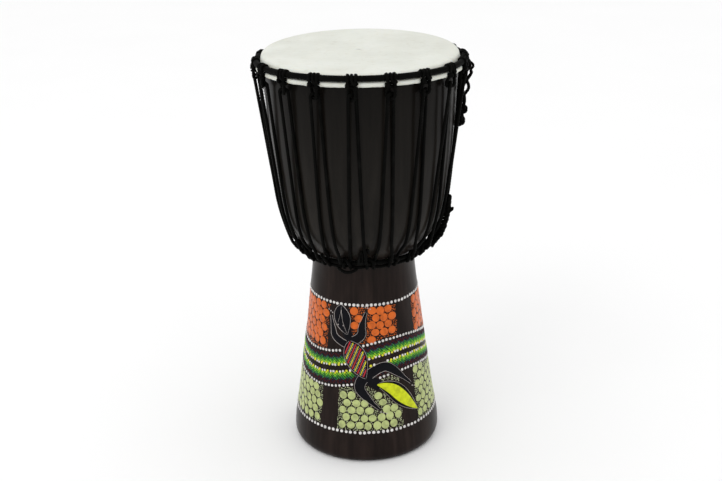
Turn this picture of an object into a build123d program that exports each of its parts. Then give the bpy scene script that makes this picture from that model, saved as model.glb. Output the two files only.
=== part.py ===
"""Rope-tuned goblet drum (djembe): carved wooden shell, goat-skin head, three steel rings,
rope loops hitched to the top and bottom rings, and the tuning rope laced between the loops.

Frame: millimetres, +Z up, origin at the centre of the foot's rest plane, -Y is the front.
Azimuths are degrees round the drum from the front, positive towards +X.
"""
from build123d import *
import math
import os

# ---------------------------------------------------------------- driving dimensions
DRUM_HEIGHT = 600.0          # rest plane to the top of the skin
ROPE_DIAMETER = 4.6          # pulled tight; 5 mm braid when slack
HITCH_COUNT = 18             # rope loops on each ring
HITCH_PITCH = 360.0 / HITCH_COUNT
FIRST_HITCH = -4.6           # azimuth of the first loop on the top ring

# wooden shell, outer radii
FOOT_RADIUS = 110.6
FOOT_EDGE_RADIUS = 12.0
WAIST_RADIUS = 75.4
WAIST_HEIGHT = 293.0
BEARING_RADIUS = 136.95
BEARING_TOP = 598.95
BEARING_ROUND = 5.35
# wooden shell, inner radii
FOOT_BORE_RADIUS = 92.0
THROAT_RADIUS = 52.0
THROAT_HEIGHT = 292.0
THROAT_LENGTH = 12.0
BEARING_INNER_RADIUS = 126.0

# skin and the ring it is folded round
SKIN_THICKNESS = 1.0
SHOULDER_RADIUS = 10.0       # centre line of the skin over the bearing edge
SHOULDER_START = 131.6
FLESH_RING_RADIUS = 145.5
FLESH_RING_HEIGHT = 586.3
FLESH_ROD_RADIUS = 3.35
SKIN_ROLL_RADIUS = 3.9       # centre line of the skin round the flesh ring
SKIN_LIP_ANGLE = 55.0        # where the folded skin ends, up from the outward direction

# top and bottom rings
CROWN_RING_RADIUS = 148.3
CROWN_RING_HEIGHT = 593.4
CROWN_ROD_RADIUS = 3.0
BASE_RING_RADIUS = 89.6
BASE_RING_HEIGHT = 314.0
BASE_ROD_RADIUS = 3.2

# links between the loops and the lacing
ROPE_RADIUS = ROPE_DIAMETER / 2
INNER_RUN_SHARE = 0.49       # part of a run that the arc at one end may take
END_RUN_SHARE = 0.98
CORD_RUN_SHARE = 0.45        # the same for a free cord's arcs
FIT_GAP = 0.12               # air between a rope and the ring it goes round
LINK_TILT = 34.0             # each bight leans this far out of the tangent plane
SMALL_BEND = 5.75            # centre line of a bight at the top ring
WIDE_BEND = 8.5              # centre line of a lacing bight at the bottom ring
ROPE_LEAN = 30.6             # slope of the ropes where they leave the bottom ring
CROWN_LINK_RADIUS = 149.0
CROWN_BIGHT_HEIGHT = 573.0   # centre of the loop's lower bend
CROWN_LINK_OVERLAP = 6.5     # how far the two bights reach through each other
BASE_BIGHT_REACH = 9.0       # from the ring to the centre of the loop's upper bend
BASE_BIGHT_BEND = 5.5
BASE_LINK_OVERLAP = 6.5

# rope tail that hangs from the top ring, and its knot
TAIL_AZIMUTH = FIRST_HITCH + 4.5 * HITCH_PITCH
BECKET_HALF_WIDTH = 8.0
BECKET_RADIUS = 153.0
BECKET_HEIGHT = 577.0
EYE_CLEARANCE = 0.45
TAIL_THICKNESS = 9.6
TAIL_ROUTE = [(151.6, 560.5), (149.6, 548.5), (147.0, 536.0), (144.2, 523.5), (142.2, 512.0),
              (141.0, 502.0)]
KNOT_CENTRE = (140.6, 498.0)
KNOT_RADIUS = 6.6

# surplus rope worked round one lacing pair, up from the bottom ring
WRAP_AZIMUTH = FIRST_HITCH + 4 * HITCH_PITCH
WRAP_THICKNESS = 8.6

# pointed rope end in front of the bottom ring
FRONT_END_AZIMUTH = -3.2
FRONT_END_FOOT = (101.5, 317.0)
FRONT_END_TIP = (111.0, 342.5)
FRONT_END_RADIUS = 4.2
FRONT_TIP_RADIUS = 1.2


# ---------------------------------------------------------------- helpers
def place(azimuth, radius, height, side=0.0):
    """Point at an azimuth, moved sideways along the tangent by side."""
    angle = math.radians(azimuth)
    return Vector(
        radius * math.sin(angle) + side * math.cos(angle),
        -radius * math.cos(angle) + side * math.sin(angle),
        height,
    )


def fitted_radii(points, wanted):
    """Corner radii as wanted, or as large as the runs beside each corner leave room for."""
    radii = []
    last = len(wanted) - 1
    for index, radius in enumerate(wanted):
        before = points[index + 1] - points[index]
        after = points[index + 2] - points[index + 1]
        half_turn = math.radians(before.get_angle(after)) / 2
        room_before = before.length * (END_RUN_SHARE if index == 0 else INNER_RUN_SHARE)
        room_after = after.length * (END_RUN_SHARE if index == last else INNER_RUN_SHARE)
        radii.append(min(radius, min(room_before, room_after) / math.tan(half_turn)))
    return radii


def cord_radii(points):
    """Corner radii of a free cord: each as large as the shorter run beside it allows."""
    radii = []
    for before, corner, after in zip(points, points[1:], points[2:]):
        half_turn = math.radians((corner - before).get_angle(after - corner)) / 2
        shorter = min((corner - before).length, (after - corner).length)
        radii.append(CORD_RUN_SHARE * shorter / math.tan(half_turn))
    return radii


def round_bar(points, radii, diameter):
    """Straight runs joined by tangent arcs, with a round section."""
    path = FilletPolyline(*points, radius=fitted_radii(points, radii))
    start = Plane(origin=path @ 0, z_dir=path % 0)
    return sweep(start * Circle(diameter / 2), path=path)


def ring(radius, height, rod_radius):
    return Pos(0, 0, height) * Torus(radius, rod_radius)


def turned(shape, azimuth):
    return Rot(0, 0, azimuth) * shape


def save(node, *solids):
    shape = solids[0] if len(solids) == 1 else Compound(children=list(solids))
    shape.label = node
    export_step(shape, f"parts/{node}.step")


# ---------------------------------------------------------------- shell and head
def make_shell():
    """Goblet turned about Z: flared stem with a bore, and a bowl that opens to the skin."""
    edge_centre = (FOOT_RADIUS - FOOT_EDGE_RADIUS, FOOT_EDGE_RADIUS + 1.0)
    rounding_centre = (BEARING_RADIUS - BEARING_ROUND, BEARING_TOP - BEARING_ROUND)
    slope = math.sin(math.radians(45))
    with BuildPart() as shell:
        with BuildSketch(Plane.XZ):
            with BuildLine():
                Line((FOOT_BORE_RADIUS, 0), (edge_centre[0] + 3.0, 0))
                Spline(
                    (edge_centre[0] + 3.0, 0),
                    (edge_centre[0] + 9.6, 4.6),
                    (FOOT_RADIUS, edge_centre[1] + 1.0),
                    tangents=[(1, 0.15), (-0.02, 1)],
                )
                Spline(
                    (FOOT_RADIUS, edge_centre[1] + 1.0),
                    (104.4, 60),
                    (95.9, 120),
                    (87.6, 180),
                    (78.4, 258),
                    (WAIST_RADIUS, WAIST_HEIGHT),
                    (79.0, 309.5),
                    (87.0, 317.0),
                    (100.0, 333.0),
                    (111.5, 353.0),
                    (121.0, 388.0),
                    (126.5, 430.0),
                    (131.5, 480.0),
                    (134.5, 530.0),
                    (BEARING_RADIUS, 580.0),
                    tangents=[(-0.02, 1), (0, 1)],
                )
                Line((BEARING_RADIUS, 580.0), (BEARING_RADIUS, rounding_centre[1]))
                ThreePointArc(
                    (BEARING_RADIUS, rounding_centre[1]),
                    (
                        rounding_centre[0] + BEARING_ROUND * slope,
                        rounding_centre[1] + BEARING_ROUND * slope,
                    ),
                    (rounding_centre[0], BEARING_TOP),
                )
                Line((rounding_centre[0], BEARING_TOP), (BEARING_INNER_RADIUS, 594.0))
                Spline(
                    (BEARING_INNER_RADIUS, 594.0),
                    (120.0, 480.0),
                    (110.5, 390.0),
                    (88.0, 338.0),
                    (60.0, 306.0),
                    (THROAT_RADIUS, THROAT_HEIGHT),
                    tangents=[(0, -1), (-0.3, -1)],
                )
                Line((THROAT_RADIUS, THROAT_HEIGHT), (THROAT_RADIUS, THROAT_HEIGHT - THROAT_LENGTH))
                Line((THROAT_RADIUS, THROAT_HEIGHT - THROAT_LENGTH), (FOOT_BORE_RADIUS, 0))
            make_face()
        revolve(axis=Axis.Z)
    return shell.part


def make_drumhead():
    """Skin pulled over the bearing edge, down the outside and round the flesh ring."""
    half = SKIN_THICKNESS / 2
    shoulder_z = DRUM_HEIGHT - half - SHOULDER_RADIUS
    outer_bend = SHOULDER_RADIUS + half
    inner_bend = SHOULDER_RADIUS - half
    outer_roll = SKIN_ROLL_RADIUS + half
    inner_roll = SKIN_ROLL_RADIUS - half
    lip = math.radians(SKIN_LIP_ANGLE)
    diagonal = math.sqrt(0.5)

    def on_shoulder(bend, across, up):
        return (SHOULDER_START + bend * across, shoulder_z + bend * up)

    def on_roll(bend, across, up):
        return (FLESH_RING_RADIUS + bend * across, FLESH_RING_HEIGHT + bend * up)

    lip_direction = (math.cos(lip), math.sin(lip))
    with BuildPart() as head:
        with BuildSketch(Plane.XZ):
            with BuildLine():
                Line((0, DRUM_HEIGHT - SKIN_THICKNESS), (0, DRUM_HEIGHT))
                Line((0, DRUM_HEIGHT), (SHOULDER_START, DRUM_HEIGHT))
                ThreePointArc(
                    (SHOULDER_START, DRUM_HEIGHT),
                    on_shoulder(outer_bend, diagonal, diagonal),
                    on_shoulder(outer_bend, 1, 0),
                )
                Line(on_shoulder(outer_bend, 1, 0), on_roll(inner_roll, -1, 0))
                ThreePointArc(
                    on_roll(inner_roll, -1, 0),
                    on_roll(inner_roll, diagonal, -diagonal),
                    on_roll(inner_roll, *lip_direction),
                )
                Line(on_roll(inner_roll, *lip_direction), on_roll(outer_roll, *lip_direction))
                ThreePointArc(
                    on_roll(outer_roll, *lip_direction),
                    on_roll(outer_roll, diagonal, -diagonal),
                    on_roll(outer_roll, -1, 0),
                )
                Line(on_roll(outer_roll, -1, 0), on_shoulder(inner_bend, 1, 0))
                ThreePointArc(
                    on_shoulder(inner_bend, 1, 0),
                    on_shoulder(inner_bend, diagonal, diagonal),
                    (SHOULDER_START, DRUM_HEIGHT - SKIN_THICKNESS),
                )
                Line((SHOULDER_START, DRUM_HEIGHT - SKIN_THICKNESS), (0, DRUM_HEIGHT - SKIN_THICKNESS))
            make_face()
        revolve(axis=Axis.Z)
    return head.part


# ---------------------------------------------------------------- rope loops on the rings
def crown_loop():
    """Loop at azimuth 0: a turn over the top ring, a hanging bight, and a second turn."""
    turn = CROWN_ROD_RADIUS + FIT_GAP + ROPE_RADIUS
    side = SMALL_BEND * math.cos(math.radians(LINK_TILT))
    lean = SMALL_BEND * math.sin(math.radians(LINK_TILT))
    bottom = CROWN_BIGHT_HEIGHT - SMALL_BEND
    outside = CROWN_RING_RADIUS + turn
    over = CROWN_RING_HEIGHT + turn
    tuck = CROWN_RING_RADIUS - 0.45 * turn
    points = [
        place(0, tuck, over, -side),
        place(0, outside, over, -side),
        place(0, outside - 0.4, FLESH_RING_HEIGHT, -side),
        place(0, CROWN_LINK_RADIUS - lean, CROWN_BIGHT_HEIGHT + 1.5, -side),
        place(0, CROWN_LINK_RADIUS - lean, bottom, -side),
        place(0, CROWN_LINK_RADIUS + lean, bottom, side),
        place(0, CROWN_LINK_RADIUS + lean, CROWN_BIGHT_HEIGHT + 6.0, side),
        place(0, outside, FLESH_RING_HEIGHT + 1.5, side),
        place(0, outside, over, side),
        place(0, tuck, over, side),
    ]
    bend = SMALL_BEND - 0.1
    radii = [turn - 0.1, 6.0, 3.5, bend, bend, 8.0, 8.0, turn - 0.1]
    return round_bar(points, radii, ROPE_DIAMETER)


def lean_point(azimuth, reach, proud, side):
    """Point by the bottom ring: reach up the ropes' slope, proud of it, and sideways."""
    slope = math.radians(ROPE_LEAN)
    turn = BASE_ROD_RADIUS + FIT_GAP + ROPE_RADIUS
    out = turn + proud
    radius = BASE_RING_RADIUS + out * math.cos(slope) + reach * math.sin(slope)
    height = BASE_RING_HEIGHT - out * math.sin(slope) + reach * math.cos(slope)
    return place(azimuth, radius, height, side)


def base_loop():
    """Loop at azimuth 0: a turn under the bottom ring, a standing bight, and a second turn."""
    turn = BASE_ROD_RADIUS + FIT_GAP + ROPE_RADIUS
    side = BASE_BIGHT_BEND * math.cos(math.radians(LINK_TILT))
    lean = BASE_BIGHT_BEND * math.sin(math.radians(LINK_TILT))
    top = BASE_BIGHT_REACH + BASE_BIGHT_BEND
    points = [
        lean_point(0, -turn, -1.15 * turn, -side),
        lean_point(0, -turn, 0, -side),
        lean_point(0, 2.5, 0, -side),
        lean_point(0, BASE_BIGHT_REACH - 0.8, -lean, -side),
        lean_point(0, top, -lean, -side),
        lean_point(0, top, lean, side),
        lean_point(0, BASE_BIGHT_REACH - 0.8, lean, side),
        lean_point(0, 2.5, 0, side),
        lean_point(0, -turn, 0, side),
        lean_point(0, -turn, -1.15 * turn, side),
    ]
    bend = BASE_BIGHT_BEND - 0.1
    radii = [turn - 0.1, 5.0, 5.0, bend, bend, 5.0, 5.0, turn - 0.1]
    return round_bar(points, radii, ROPE_DIAMETER)


# ---------------------------------------------------------------- tuning rope
LEG_ROUTE = [  # azimuth from the hitch, radius, height, corner radius
    (4.6, 114.0, 346.0, 60.0),
    (4.1, 122.3, 376.0, 120.0),
    (3.6, 127.6, 412.0, 200.0),
]


def leg(side_sign, lean_sign):
    """Corner points and radii of one leg at azimuth 0, bottom link to top link."""
    half_pitch = HITCH_PITCH / 2
    wide_side = WIDE_BEND * math.cos(math.radians(LINK_TILT))
    wide_lean = WIDE_BEND * math.sin(math.radians(LINK_TILT))
    side = SMALL_BEND * math.cos(math.radians(LINK_TILT))
    lean = SMALL_BEND * math.sin(math.radians(LINK_TILT))
    low = BASE_BIGHT_REACH + BASE_BIGHT_BEND - BASE_LINK_OVERLAP
    apex = CROWN_BIGHT_HEIGHT - SMALL_BEND + CROWN_LINK_OVERLAP
    base_azimuth = side_sign * half_pitch
    points = [
        lean_point(base_azimuth, low, 0, 0),
        lean_point(base_azimuth, low, lean_sign * wide_lean, -side_sign * wide_side),
        lean_point(base_azimuth, low + 16.0, lean_sign * wide_lean * 0.5, -side_sign * wide_side),
    ]
    radii = [WIDE_BEND - 0.1, 20.0]
    for azimuth, radius, height, bend in LEG_ROUTE:
        points.append(place(side_sign * azimuth, radius, height))
        radii.append(bend)
    points.append(place(0, CROWN_LINK_RADIUS - lean_sign * lean, apex, side_sign * side))
    radii.append(SMALL_BEND - 0.1)
    return points, radii


def lacing_run():
    """One run at azimuth 0: up from the left bottom loop, over the top loop, down to the right."""
    left_points, left_radii = leg(-1, -1)
    right_points, right_radii = leg(1, 1)
    points = left_points + right_points[::-1]
    radii = left_radii + right_radii[::-1]
    return round_bar(points, radii, ROPE_DIAMETER)


# ---------------------------------------------------------------- tail, wrap and rope ends
def tail_becket():
    """Short loop on the top ring with a straight rung that the tail's eye hangs from."""
    turn = CROWN_ROD_RADIUS + FIT_GAP + ROPE_RADIUS
    over = CROWN_RING_HEIGHT + turn
    outside = CROWN_RING_RADIUS + turn
    tuck = CROWN_RING_RADIUS - 0.45 * turn
    half = []
    for side in (-BECKET_HALF_WIDTH, BECKET_HALF_WIDTH):
        half.append([
            place(TAIL_AZIMUTH, tuck, over, side),
            place(TAIL_AZIMUTH, outside, over, side),
            place(TAIL_AZIMUTH, BECKET_RADIUS, BECKET_HEIGHT, side),
        ])
    points = half[0] + half[1][::-1]
    radii = [turn - 0.1, ROPE_DIAMETER, ROPE_DIAMETER, turn - 0.1]
    return round_bar(points, radii, ROPE_DIAMETER)


def rope_tail():
    """Eye round the becket's rung, with the doubled rope hanging from it as one thick bar."""
    eye_bend = 2 * ROPE_RADIUS + EYE_CLEARANCE
    eye_plane = Plane(
        origin=place(TAIL_AZIMUTH, BECKET_RADIUS, BECKET_HEIGHT),
        z_dir=place(TAIL_AZIMUTH + 90, 1, 0),
    )
    eye = eye_plane * Torus(eye_bend, ROPE_RADIUS)
    eye_bottom = BECKET_HEIGHT - eye_bend
    route = [(BECKET_RADIUS, eye_bottom)] + TAIL_ROUTE
    points = [place(TAIL_AZIMUTH, radius, height) for radius, height in route]
    radii = cord_radii(points)
    print("rope_tail arc radii, mm:", [round(radius, 1) for radius in radii])
    bar = round_bar(points, radii, TAIL_THICKNESS)
    rung_space = eye_plane * Cylinder(eye_bend - ROPE_RADIUS, 4 * TAIL_THICKNESS)
    return (eye + bar) - rung_space - tail_knot()


def tail_knot():
    return Pos(*place(TAIL_AZIMUTH, *KNOT_CENTRE)) * Sphere(KNOT_RADIUS)


def tail_wrap():
    """Surplus rope worked up the outside of one lacing pair from the bottom ring."""
    route = [(103.5, 313.5), (113.5, 327.0), (123.5, 344.5), (130.5, 366.0), (135.2, 394.0)]
    points = [place(WRAP_AZIMUTH, radius, height) for radius, height in route]
    return round_bar(points, [30.0, 40.0, 60.0], WRAP_THICKNESS)


def wrap_end():
    """Cut end of the surplus rope, standing out of the wrap."""
    points = [
        place(WRAP_AZIMUTH, 139.2, 379.0),
        place(WRAP_AZIMUTH, 141.8, 381.0),
        place(WRAP_AZIMUTH, 144.8, 386.0),
    ]
    return round_bar(points, [3.0], ROPE_DIAMETER)


def front_end():
    """Pointed end of the doubled rope, standing up in front of the bottom ring."""
    foot = place(FRONT_END_AZIMUTH, *FRONT_END_FOOT)
    axis = place(FRONT_END_AZIMUTH, *FRONT_END_TIP) - foot
    cone = Cone(FRONT_END_RADIUS, FRONT_TIP_RADIUS, axis.length)
    return Plane(origin=foot + axis / 2, z_dir=axis) * cone


def loose_end():
    """Rope end that sags just under the bottom ring."""
    route = [(-24.0, 92.3, 306.6), (-19.5, 94.6, 302.6), (-14.6, 95.6, 301.4),
             (-10.0, 94.8, 302.8), (-5.6, 92.3, 306.6)]
    points = [place(azimuth, radius, height) for azimuth, radius, height in route]
    return round_bar(points, [14.0, 14.0, 14.0], ROPE_DIAMETER)


if __name__ == "__main__":
    os.makedirs("parts", exist_ok=True)
    save("shell", make_shell())
    save("drumhead", make_drumhead())
    save("flesh_ring", ring(FLESH_RING_RADIUS, FLESH_RING_HEIGHT, FLESH_ROD_RADIUS))
    save("crown_ring", ring(CROWN_RING_RADIUS, CROWN_RING_HEIGHT, CROWN_ROD_RADIUS))
    save("base_ring", ring(BASE_RING_RADIUS, BASE_RING_HEIGHT, BASE_ROD_RADIUS))
    crown_unit = crown_loop()
    base_unit = base_loop()
    lacing_unit = lacing_run()
    base_loops = []
    for index in range(HITCH_COUNT):
        azimuth = FIRST_HITCH + index * HITCH_PITCH
        save(f"crown_loop_{index + 1:02d}", turned(crown_unit, azimuth))
        save(f"lacing_{index + 1:02d}", turned(lacing_unit, azimuth))
        base_loops.append(turned(base_unit, azimuth + HITCH_PITCH / 2))
    save("base_loops", *base_loops)
    save("tail_becket", tail_becket())
    save("rope_tail", rope_tail())
    save("tail_knot", tail_knot())
    save("tail_wrap", tail_wrap())
    save("wrap_end", wrap_end())
    save("front_end", front_end())
    save("loose_end", loose_end())
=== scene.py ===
"""Looks of a rope-tuned djembe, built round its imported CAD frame.

Lengths are millimetres in the functions and metres in the meshes. Azimuths are degrees round
the drum from the front (-Y), positive towards +X.
"""
import math
import random

import bpy
import numpy as np
from mathutils import Matrix, Vector
from mathutils.bvhtree import BVHTree


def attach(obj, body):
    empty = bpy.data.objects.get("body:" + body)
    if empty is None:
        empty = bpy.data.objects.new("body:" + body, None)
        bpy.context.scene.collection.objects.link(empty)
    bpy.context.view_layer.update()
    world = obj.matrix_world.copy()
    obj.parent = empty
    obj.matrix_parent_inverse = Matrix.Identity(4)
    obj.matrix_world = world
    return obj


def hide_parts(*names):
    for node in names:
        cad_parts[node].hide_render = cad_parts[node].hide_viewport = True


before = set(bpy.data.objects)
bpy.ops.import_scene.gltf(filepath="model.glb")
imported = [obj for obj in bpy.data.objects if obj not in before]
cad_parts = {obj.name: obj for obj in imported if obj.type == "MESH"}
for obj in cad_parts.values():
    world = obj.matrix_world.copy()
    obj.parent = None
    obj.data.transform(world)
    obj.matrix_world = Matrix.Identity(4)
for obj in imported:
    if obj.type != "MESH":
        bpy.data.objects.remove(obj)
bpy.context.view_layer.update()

MM = 0.001
HITCH_COUNT = 18             # hitches on the top ring
HITCH_PITCH = 360 / HITCH_COUNT
FIRST_HITCH = -4.6           # its azimuth
ROPE_RADIUS = 2.3


# ---------- placing
def place(azimuth, radius, height, side=0.0):
    """Point in millimetres at an azimuth, moved sideways along the tangent by side."""
    angle = math.radians(azimuth)
    return np.array([
        radius * math.sin(angle) + side * math.cos(angle),
        -radius * math.cos(angle) + side * math.sin(angle),
        height,
    ])


def turned(points, azimuth):
    """Points turned round the drum's axis."""
    angle = math.radians(azimuth)
    cos, sin = math.cos(angle), math.sin(angle)
    turn = np.array([[cos, -sin, 0], [sin, cos, 0], [0, 0, 1]])
    return np.asarray(points) @ turn.T


CROWN_DROPS = [-1.8, 1.6, 4.6, 7.6, 9.4, 10.2]   # from the front to the back
CROWN_SPAN = 150.0
TILT_START = 560.0           # pieces below this height don't follow the tilt
TILT_FULL = 584.0            # pieces above this height follow it fully


def settled(vertices, low, high):
    """Vertices with the top ring's slight tilt: it sits lower towards the back."""
    vertices = np.array(vertices, float)
    weight = np.clip((vertices[:, 2] - low) / (high - low), 0, 1)
    places = np.linspace(-CROWN_SPAN, CROWN_SPAN, len(CROWN_DROPS))
    vertices[:, 2] -= np.interp(vertices[:, 1], places, CROWN_DROPS) * weight
    return vertices


# ---------- meshes
def mesh_object(name, shape, materials, body="drum", face_material=None):
    """Smooth piece riding on a body; a shape is its vertices in millimetres and its faces."""
    vertices, faces = shape
    mesh = bpy.data.meshes.new(name)
    mesh.from_pydata((np.asarray(vertices) * MM).tolist(), [], faces)
    mesh.validate()
    for material in materials:
        mesh.materials.append(material)
    if face_material is not None:
        mesh.polygons.foreach_set("material_index", face_material)
    mesh.polygons.foreach_set("use_smooth", [True] * len(mesh.polygons))
    mesh.update()
    piece = bpy.data.objects.new(name, mesh)
    bpy.context.scene.collection.objects.link(piece)
    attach(piece, body)
    return piece


def grid_faces(rows, columns, wrap_rows=False, wrap_columns=True):
    """Quads of a grid of vertices, row by row."""
    faces = []
    for row in range(rows if wrap_rows else rows - 1):
        here = row * columns
        above = (row + 1) % rows * columns
        for column in range(columns if wrap_columns else columns - 1):
            after = (column + 1) % columns
            faces.append((here + column, here + after, above + after, above + column))
    return faces


def lathe(profile, segments, offset):
    """Vertices of a closed (radius, height) outline turned about Z, and the grid's rows and columns.

    offset gives how far each vertex moves outwards and up.
    """
    profile = np.asarray(profile, float)
    angles = np.arange(segments) / segments * 2 * math.pi
    radius = np.repeat(profile[:, 0][:, None], segments, 1)
    height = np.repeat(profile[:, 1][:, None], segments, 1)
    out, up = offset(radius, height, angles)
    radius, height = radius + out, height + up
    vertices = np.stack([radius * np.cos(angles), radius * np.sin(angles), height], 2).reshape(-1, 3)
    return vertices, radius.shape


# ---------- routes and tubes
ROUTE_RESOLUTION = 20        # points between two control points


def smooth_route(points, cyclic=False):
    """Points along the NURBS line whose control points are given, in millimetres."""
    curve = bpy.data.curves.new("route", "CURVE")
    curve.dimensions = "3D"
    spline = curve.splines.new("NURBS")
    spline.points.add(len(points) - 1)
    for target, point in zip(spline.points, points):
        target.co = (*point, 1)
    spline.use_cyclic_u = cyclic
    spline.use_endpoint_u = not cyclic
    spline.order_u = 3
    spline.resolution_u = ROUTE_RESOLUTION
    holder = bpy.data.objects.new("route", curve)
    bpy.context.scene.collection.objects.link(holder)
    bpy.context.view_layer.update()
    mesh = bpy.data.meshes.new_from_object(holder)
    line = np.array([v.co for v in mesh.vertices])
    bpy.data.objects.remove(holder)
    bpy.data.curves.remove(curve)
    bpy.data.meshes.remove(mesh)
    return line


def distances(line):
    """Distance of each point from the first one, along the line."""
    return np.r_[0, np.cumsum(np.linalg.norm(np.diff(line, axis=0), axis=1))]


def unit_tangents(line):
    """Direction of a line at each of its points."""
    tangents = np.gradient(line, axis=0)
    return tangents / np.linalg.norm(tangents, axis=1)[:, None]


def even_points(line, count):
    """Points at even distances along a line."""
    along = distances(line)
    wanted = np.linspace(0, along[-1], count)
    return np.stack([np.interp(wanted, along, line[:, axis]) for axis in range(line.shape[1])], 1)


def spaced(line, step):
    """The same line at even steps of about a given length."""
    gaps = np.linalg.norm(np.diff(line, axis=0), axis=1)
    line = line[np.r_[True, gaps > 1e-6]]
    return even_points(line, max(2, int(round(distances(line)[-1] / step)) + 1))


def carried_frames(line, first_normal=(0.0, 0.0, 1.0)):
    """Normals that don't twist along a line, and the directions square to them and to it."""
    tangents = unit_tangents(line)
    guess = np.asarray(first_normal, float)
    if abs(tangents[0] @ guess) > 0.95:
        guess = np.array([1.0, 0.0, 0.0])
    normals = np.zeros_like(line)
    for index, tangent in enumerate(tangents):
        guess = guess - tangent * (guess @ tangent)
        guess /= np.linalg.norm(guess)
        normals[index] = guess
    return normals, np.cross(tangents, normals)


BRAID_LENGTH = 4.4           # rope that one turn of a strand takes up
BRAID_DEPTH = 0.27
BRAID_SIDES = 16
BRAID_STEP = 0.75


def braid_relief(along, around, phase):
    """Height of a braid's strands above its mean surface."""
    wave = 2 * math.pi * along / BRAID_LENGTH + phase
    lumps = np.cos(wave + 3 * around) + np.cos(wave - 3 * around)
    return BRAID_DEPTH * 0.5 * lumps


def tube(line, radius, sides=BRAID_SIDES, relief=braid_relief, phase=0.0, taper=None, closed=False):
    """Shape of a tube round a line, with strands in relief and rounded ends."""
    normals, sideways = carried_frames(line)
    count = len(line)
    along = distances(line)[:, None]
    around = (np.arange(sides) / sides * 2 * math.pi)[None, :]
    reach = np.full((count, sides), float(radius))
    if relief is not None:
        reach = reach + relief(along, around, phase)
    if taper is not None:
        reach = reach * taper(along / along[-1])
    if not closed:
        end_round = np.minimum(along, along[-1] - along) / radius
        reach = reach * np.sqrt(np.clip(1 - (1 - np.clip(end_round, 0, 1)) ** 2, 0.16, 1))
    rings = (
        line[:, None, :]
        + (reach * np.cos(around))[:, :, None] * normals[:, None, :]
        + (reach * np.sin(around))[:, :, None] * sideways[:, None, :]
    )
    vertices = rings.reshape(-1, 3)
    faces = grid_faces(count, sides, wrap_rows=closed)
    if not closed:
        start, end = len(vertices), len(vertices) + 1
        vertices = np.vstack([vertices, line[0], line[-1]])
        last = (count - 1) * sides
        for side in range(sides):
            after = (side + 1) % sides
            faces.append((start, after, side))
            faces.append((end, last + side, last + after))
    return vertices, faces


def joined(shapes):
    """One shape from several."""
    vertices, faces, start = [], [], 0
    for shape_vertices, shape_faces in shapes:
        vertices.append(shape_vertices)
        faces.extend(tuple(v + start for v in face) for face in shape_faces)
        start += len(shape_vertices)
    return np.vstack(vertices), faces


def tilted(shape, low=TILT_START, high=TILT_FULL):
    """The same shape with the top ring's tilt."""
    vertices, faces = shape
    return settled(vertices, low, high), faces


def rope_shape(points, phase=0.0, radius=ROPE_RADIUS, taper=None):
    """Shape of a braided rope along a smooth route through control points."""
    return tube(spaced(smooth_route(points), BRAID_STEP), radius, phase=phase, taper=taper)


def closed_rope(line, radius):
    """Shape of a braided rope along a closed line."""
    return tube(spaced(np.vstack([line, line[:1]]), BRAID_STEP)[:-1], radius, closed=True)


def rope_object(name, shape, body="drum"):
    """Piece of the black rope."""
    return mesh_object(name, shape, [ROPE], body)


# ---------- materials
def new_material(name, color, roughness, **sockets):
    """Material, its node tree and its shader, with the shader's other sockets set by name."""
    material = bpy.data.materials.new(name)
    material.use_nodes = True
    shader = material.node_tree.nodes["Principled BSDF"]
    shader.inputs["Base Color"].default_value = (*color, 1)
    shader.inputs["Roughness"].default_value = roughness
    for socket, value in sockets.items():
        shader.inputs[socket.replace("_", " ")].default_value = value
    return material, material.node_tree, shader


def add_node(tree, kind, values, links):
    """Node with some of its sockets set and others linked."""
    node = tree.nodes.new(f"ShaderNode{kind}")
    for name, value in values.items():
        node.inputs[name].default_value = value
    for name, socket in links.items():
        tree.links.new(socket, node.inputs[name])
    return node


def add_noise(tree, scale, detail=4.0, stretch=(1, 1, 1), roughness=0.55):
    """Noise on object coordinates, its scale per metre; returns the factor socket."""
    place_socket = add_node(tree, "TexCoord", {}, {}).outputs["Object"]
    mapping = add_node(tree, "Mapping", {"Scale": stretch}, {"Vector": place_socket})
    values = {"Scale": scale, "Detail": detail, "Roughness": roughness}
    return add_node(tree, "TexNoise", values, {"Vector": mapping.outputs["Vector"]}).outputs["Fac"]


def add_ramp(tree, factor, stops):
    """Colour ramp on a factor; stops are (position, linear colour)."""
    ramp = add_node(tree, "ValToRGB", {}, {"Fac": factor})
    elements = ramp.color_ramp.elements
    while len(elements) < len(stops):
        elements.new(0.5)
    for element, (position, color) in zip(elements, stops):
        element.position = position
        element.color = (*color, 1)
    return ramp.outputs["Color"]


def add_mix(tree, factor, first, second):
    """Colour mix of two sockets by a factor socket."""
    mix = tree.nodes.new("ShaderNodeMix")
    mix.data_type = "RGBA"
    tree.links.new(factor, mix.inputs["Factor"])
    tree.links.new(first, mix.inputs["A"])
    tree.links.new(second, mix.inputs["B"])
    return mix.outputs["Result"]


def add_bump(tree, shader, heights):
    """Bump from (socket, strength, distance in metres) layers."""
    links = {}
    for socket, strength, distance in heights:
        links["Height"] = socket
        bump = add_node(tree, "Bump", {"Strength": strength, "Distance": distance}, links)
        links["Normal"] = bump.outputs["Normal"]
    tree.links.new(links["Normal"], shader.inputs["Normal"])


def add_map_range(tree, factor, low, high):
    """Factor from 0 to 1 made to run from low to high."""
    return add_node(tree, "MapRange", {"To Min": low, "To Max": high}, {"Value": factor}).outputs["Result"]


def add_height(tree, low, high):
    """Share of the way from one height to another, in metres above the floor."""
    place_socket = add_node(tree, "TexCoord", {}, {}).outputs["Object"]
    split = add_node(tree, "SeparateXYZ", {}, {"Vector": place_socket})
    values = {"From Min": low, "From Max": high}
    return add_node(tree, "MapRange", values, {"Value": split.outputs["Z"]}).outputs["Result"]


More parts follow.
